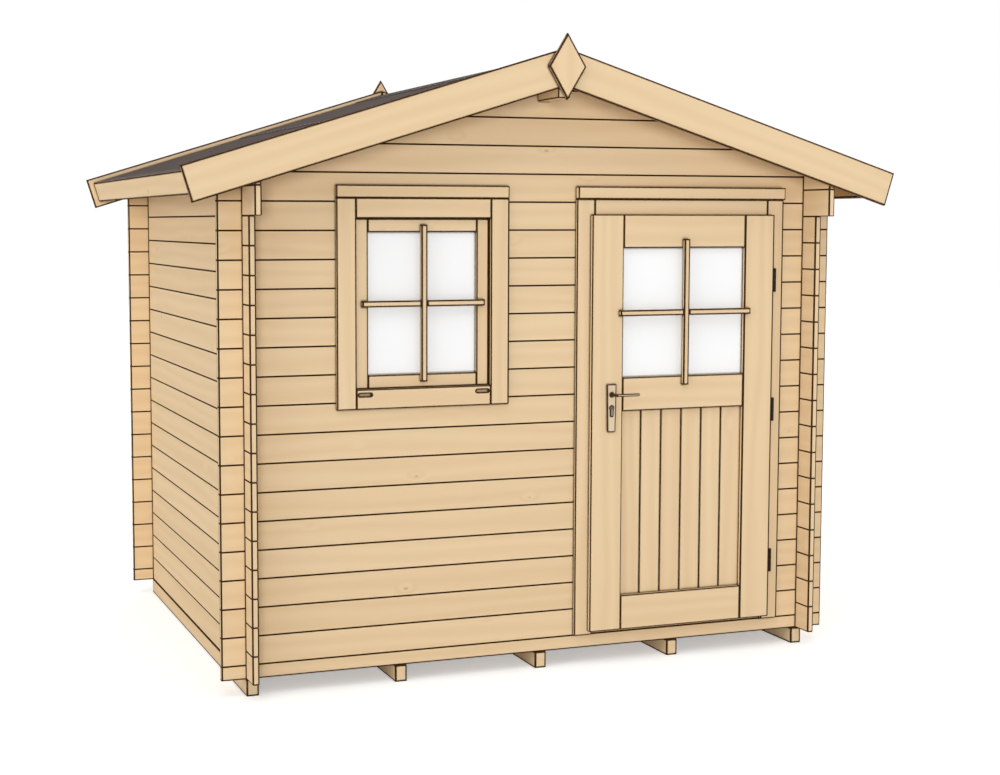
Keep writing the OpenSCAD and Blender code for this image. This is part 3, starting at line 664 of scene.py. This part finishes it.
def addStrip(side, top, foot, lift):
    # a flat strip of felt from `top` to `foot` down one slope, with a hand-cut lower edge
    near = 0.001            # reach within which a vertex is taken for one of the cut edge
    length = feltHigh.y - feltLow.y - 2 * roofing["endGap"]
    columns = round(length / roofing["step"])
    deselectAll()
    bpy.ops.mesh.primitive_grid_add(x_subdivisions=roofing["cells"], y_subdivisions=columns, size=1,
                                    location=(0, 0, 0))
    strip = bpy.context.object
    bpy.ops.object.mode_set(mode="EDIT")
    bpy.ops.mesh.select_all(action="SELECT")
    bpy.ops.transform.resize(value=(foot - top, length, 1))
    bpy.ops.transform.translate(value=(side * (top + foot) / 2, 0, lift))
    for column in range(1, columns):
        y = -length / 2 + column * length / columns
        pickWhere(strip, lambda co: side * co.x > foot - near and abs(co.y - y) < near)
        bpy.ops.transform.translate(value=(byHand.uniform(-1, 1) * roofing["waver"], 0, 0))
    bpy.ops.object.mode_set(mode="OBJECT")
    layOnSlope(strip, side)
    return strip


def finishStrip(strip, name):
    applyModifier(strip, "SOLIDIFY", thickness=roofing["thick"], offset=1.0, use_even_offset=True)
    applyModifier(strip, "BEVEL", width=roofing["easing"], segments=1, limit_method="ANGLE")
    strip.name = name
    strip.data.materials.append(roofFelt)
    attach(strip, "house")


def addNail():
    # a clout nail's round head, slightly domed, standing on z = 0
    deselectAll()
    bpy.ops.mesh.primitive_cylinder_add(vertices=nailing["sides"], radius=nailing["head"],
                                        depth=nailing["thick"], location=(0, 0, nailing["thick"] / 2))
    nail = bpy.context.object
    bpy.ops.object.transform_apply(location=True, rotation=True, scale=True)
    bpy.ops.object.mode_set(mode="EDIT")
    pickWhere(nail, lambda co: co.z > nailing["thick"] / 2)
    bpy.ops.mesh.inset(thickness=nailing["head"] * nailing["drawnIn"],
                       depth=nailing["thick"] * nailing["raised"])
    bpy.ops.object.mode_set(mode="OBJECT")
    return nail


def nailRow(name, side, down, lift):
    # a row of nails along the roof, `down` the slope and `lift` above the CAD felt
    nail = addNail()
    span = feltHigh.y - feltLow.y - 2 * nailing["inset"]
    count = round(span / nailing["step"])
    row = []
    for i in range(count + 1):
        copy = nail.copy()
        copy.data = nail.data.copy()
        bpy.context.collection.objects.link(copy)
        strayAlong = byHand.uniform(-nailing["strayAlong"], nailing["strayAlong"])
        strayDown = byHand.uniform(-nailing["strayDown"], nailing["strayDown"])
        copy.location = (side * (down + strayDown), -span / 2 + i * span / count + strayAlong, lift)
        row.append(copy)
    bpy.data.objects.remove(nail)
    deselectAll()
    for copy in row:
        copy.select_set(True)
    bpy.context.view_layer.objects.active = row[0]
    bpy.ops.object.transform_apply(location=True, rotation=True, scale=True)
    nails = joinPieces(row, name)
    layOnSlope(nails, side)
    nails.data.materials.append(zinc)
    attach(nails, "house")


print("laying the felt's upper strips and nailing them")
onFelt = roofing["air"]
onStrip = roofing["thick"] + 2 * roofing["air"]
onCap = 2 * roofing["thick"] + 3 * roofing["air"]
eavesDown = (feltHigh.x - feltLow.x) / math.cos(sizes["pitch"])
for side, name in ((-1, "left"), (1, "right")):
    finishStrip(addStrip(side, roofing["ridgeGap"], roofing["lap"], onFelt), name + "_felt_strip")
    nailRow(name + "_eaves_nails", side, eavesDown - nailing["inset"], nailing["air"])
    nailRow(name + "_strip_nails", side, roofing["lap"] - nailing["inset"], onStrip)
    nailRow(name + "_cap_nails", side, roofing["cap"] - nailing["inset"], onCap)
cap = joinPieces([addStrip(side, 0.0, roofing["cap"], onStrip) for side in (-1, 1)], "ridge_cap")
bpy.ops.object.mode_set(mode="EDIT")
bpy.ops.mesh.select_all(action="SELECT")
bpy.ops.mesh.remove_doubles(threshold=roofing["merge"])
bpy.ops.mesh.normals_make_consistent(inside=False)
bpy.ops.object.mode_set(mode="OBJECT")
finishStrip(cap, "ridge_cap")


def makeStage():
    stage = {
        "size": 60.0,
        "white": (0.90, 0.905, 0.915, 1.0),
        "roughness": 0.9,
        "lift": 0.40,           # light of its own, which only the camera sees
    }
    deselectAll()
    bpy.ops.mesh.primitive_plane_add(size=stage["size"], location=(0, 0, 0))
    floor = bpy.context.object
    floor.name = "stage_floor"
    material, tree, shader = startMaterial("stageWhite")
    shader.inputs["Base Color"].default_value = stage["white"]
    shader.inputs["Roughness"].default_value = stage["roughness"]
    shader.inputs["Specular IOR Level"].default_value = 0.0
    seen = addNode(tree, "ShaderNodeLightPath").outputs["Is Camera Ray"]
    shader.inputs["Emission Color"].default_value = (1, 1, 1, 1)
    tree.links.new(calc(tree, "MULTIPLY", seen, stage["lift"]), shader.inputs["Emission Strength"])
    floor.data.materials.append(material)


light = {
    "sky": 0.39,
    "place": (-4, -5, 6),   # of the lamps, which shine alike from anywhere
    # strength, and in degrees: softness, tilt from straight down, turn from the front to the left
    "suns": {
        "topLight": (0.97, 50, 30, 30),
        "frontLight": (1.30, 20, 88, 20),
        "sideLight": (0.98, 40, 84, 75),
        "backLight": (1.55, 50, 78, 215),
    },
}


def addSun(name, strength, softness, tilt, turn):
    deselectAll()
    bpy.ops.object.light_add(type="SUN", location=light["place"],
                             rotation=(math.radians(tilt), 0, -math.radians(turn)))
    sun = bpy.context.object
    sun.name = name
    sun.data.energy = strength
    sun.data.angle = math.radians(softness)


def makeLight():
    world = bpy.data.worlds.new("studioSky")
    bpy.context.scene.world = world
    world.use_nodes = True
    tree = world.node_tree
    tree.nodes.clear()
    path = addNode(tree, "ShaderNodeLightPath").outputs
    seen = largest(tree, path["Is Camera Ray"], path["Is Glossy Ray"], path["Is Transmission Ray"])
    strength = spread(tree, seen, 0.0, 1.0, light["sky"], 1.0)
    sky = addNode(tree, "ShaderNodeBackground", {"Color": (1, 1, 1, 1), "Strength": strength})
    addNode(tree, "ShaderNodeOutputWorld", {"Surface": sky.outputs[0]})
    for name, sun in light["suns"].items():
        addSun(name, *sun)


def makeCamera():
    shot = {
        "place": (-2.782, -7.249, 1.867),
        "down": 0.0862,         # radians below level
        "turn": -0.3473,        # radians to the left of straight back
        "lens": 59.89,
        "sensor": 36,
        "shift": (0.0717, -0.021),
    }
    deselectAll()
    bpy.ops.object.camera_add(location=shot["place"],
                              rotation=(math.pi / 2 - shot["down"], 0, shot["turn"]))
    camera = bpy.context.object
    camera.name = "houseCamera"
    camera.data.sensor_width = shot["sensor"]
    camera.data.lens = shot["lens"]
    camera.data.shift_x, camera.data.shift_y = shot["shift"]
    bpy.context.scene.camera = camera


print("setting the stage")
makeStage()
makeLight()
makeCamera()
bpy.context.scene.view_settings.view_transform = "Standard"

print("finishing")
